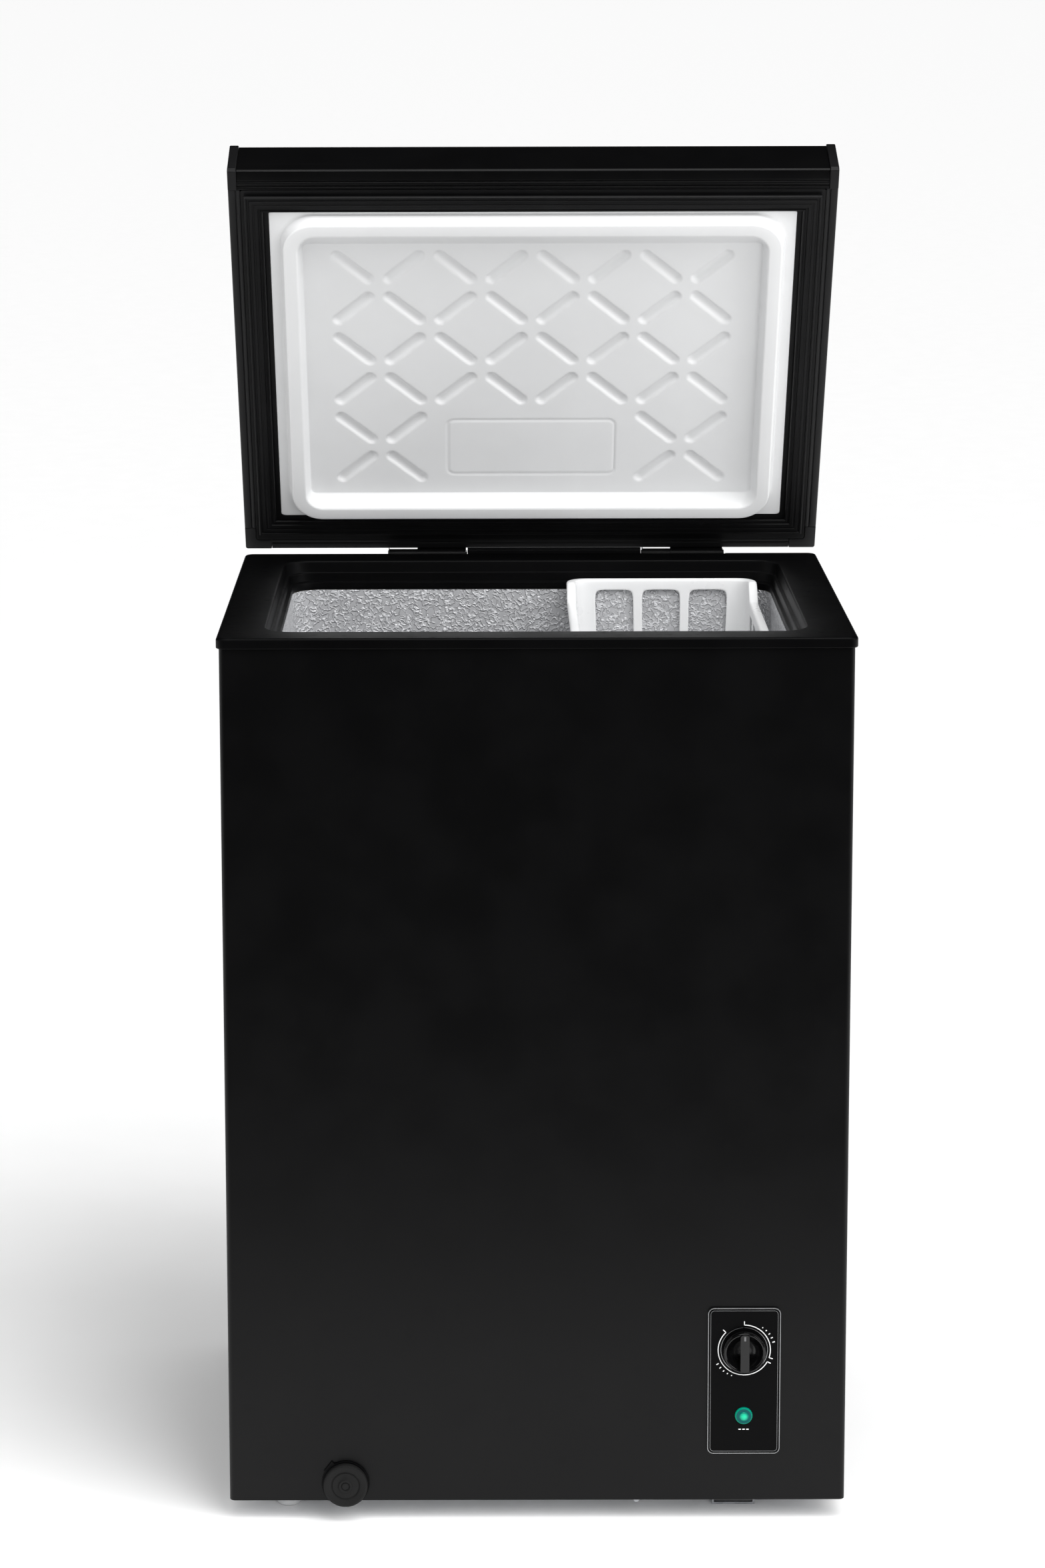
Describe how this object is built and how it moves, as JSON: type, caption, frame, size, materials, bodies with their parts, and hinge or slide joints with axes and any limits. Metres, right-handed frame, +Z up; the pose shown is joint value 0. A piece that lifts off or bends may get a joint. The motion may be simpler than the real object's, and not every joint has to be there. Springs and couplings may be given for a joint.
{
  "type": "chest freezer",
  "caption": "Small upright-proportioned chest freezer with its hinged lid raised, foam walls, lift-out basket, thermostat dial and front drain plug.",
  "frame": {"origin": "middle of the footprint at floor level, measured with the lid raised as stored", "axes": "+X to the right seen from the front, +Y to the back, +Z up"},
  "size_m": [0.545, 0.4752, 1.1889],
  "materials": {
    "cabinet_steel": "satin black sheet steel, fine leather-grain paint",
    "zinc_steel": "zinc plated sheet steel",
    "black_plastic": "black moulded plastic, fine texture",
    "handle_plastic": "black extruded plastic, satin gloss",
    "gasket_rubber": "soft black magnetic seal",
    "rubber": "black rubber",
    "lid_liner": "white vacuum-formed sheet, satin gloss",
    "basket_plastic": "white injection moulded plastic",
    "stucco_aluminium": "stucco embossed aluminium sheet",
    "foam": "poured rigid foam",
    "grey_plastic": "light grey moulded plastic",
    "copper": "bare copper tube",
    "compressor_paint": "black enamel",
    "panel_face": "smooth black face with white scale marks",
    "knob_plastic": "black moulded knob with a light pointer",
    "lamp_lens": "green-blue clear lens, lit",
    "hinge_steel": "black painted pressed steel"
  },
  "bodies": {
    "cabinet": {"outer_wrap": "cabinet_steel", "rear_panel": "cabinet_steel", "bottom_pan": "zinc_steel", "cabinet_insulation": "foam", "inner_liner": "stucco_aluminium", "rim_collar": "black_plastic", "compressor_base": "zinc_steel", "compressor": "compressor_paint", "compressor_grommet_1": "rubber", "compressor_grommet_2": "rubber", "compressor_grommet_3": "rubber", "compressor_grommet_4": "rubber", "compressor_relay_cover": "black_plastic", "suction_tube": "copper", "discharge_tube": "copper", "filter_drier": "copper", "rear_vent_cover": "cabinet_steel", "mains_inlet_gland": "black_plastic", "control_panel": "panel_face", "control_bezel": "zinc_steel", "thermostat_body": "zinc_steel", "power_lamp": "lamp_lens", "lamp_holder": "black_plastic", "drain_collar": "black_plastic", "drain_pipe": "grey_plastic", "foot_front_left": "grey_plastic", "foot_rear_left": "grey_plastic", "foot_rear_right": "grey_plastic", "foot_bracket_right": "zinc_steel", "foot_block_right": "rubber", "base_bolt_left": "zinc_steel", "base_bolt_right": "zinc_steel", "hinge_leaf_lower_left": "hinge_steel", "hinge_leaf_lower_right": "hinge_steel", "hinge_pin_left": "zinc_steel", "hinge_pin_right": "zinc_steel", "hinge_spring_left": "zinc_steel", "hinge_spring_right": "zinc_steel", "hinge_tie_bar": "hinge_steel"},
    "lid": {"hinge_leaf_upper_left": "hinge_steel", "hinge_leaf_upper_right": "hinge_steel", "lid_inner_liner": "lid_liner", "lid_insulation": "foam", "lid_outer_panel": "cabinet_steel", "lid_side_trim_left": "black_plastic", "lid_side_trim_right": "black_plastic", "lid_corner_cap_left": "black_plastic", "lid_corner_cap_right": "black_plastic", "lid_rear_trim": "black_plastic", "lid_gasket": "gasket_rubber", "lid_gasket_frame": "black_plastic", "lid_handle_profile": "handle_plastic", "handle_end_cap_left": "handle_plastic", "handle_end_cap_right": "handle_plastic"},
    "basket": {"storage_basket": "basket_plastic"},
    "thermostat": {"thermostat_knob": "knob_plastic", "thermostat_spindle": "zinc_steel"},
    "front_plug": {"drain_plug": "black_plastic"},
    "floor_plug": {"drain_stopper": "grey_plastic"}
  },
  "joints": [
    {"name": "lid_hinge", "type": "hinge", "parent": "cabinet", "child": "lid", "pos_m": [0, 0.1891, 0.788], "axis": [-1, 0, 0], "range_deg": [-62, 25]},
    {"name": "basket_slide", "type": "slide", "parent": "cabinet", "child": "basket", "axis": [1, 0, 0], "range_m": [-0.25, 0.006]},
    {"name": "thermostat_turn", "type": "hinge", "parent": "cabinet", "child": "thermostat", "pos_m": [0.1807, -0.2249, 0.1568], "axis": [0, 1, 0], "range_deg": [0, 310]},
    {"name": "front_plug_pull", "type": "slide", "parent": "cabinet", "child": "front_plug", "axis": [0, -1, 0], "range_m": [0, 0.04]},
    {"name": "floor_plug_lift", "type": "slide", "parent": "cabinet", "child": "floor_plug", "axis": [0, 0, 1], "range_m": [0, 0.05]}
  ]
}
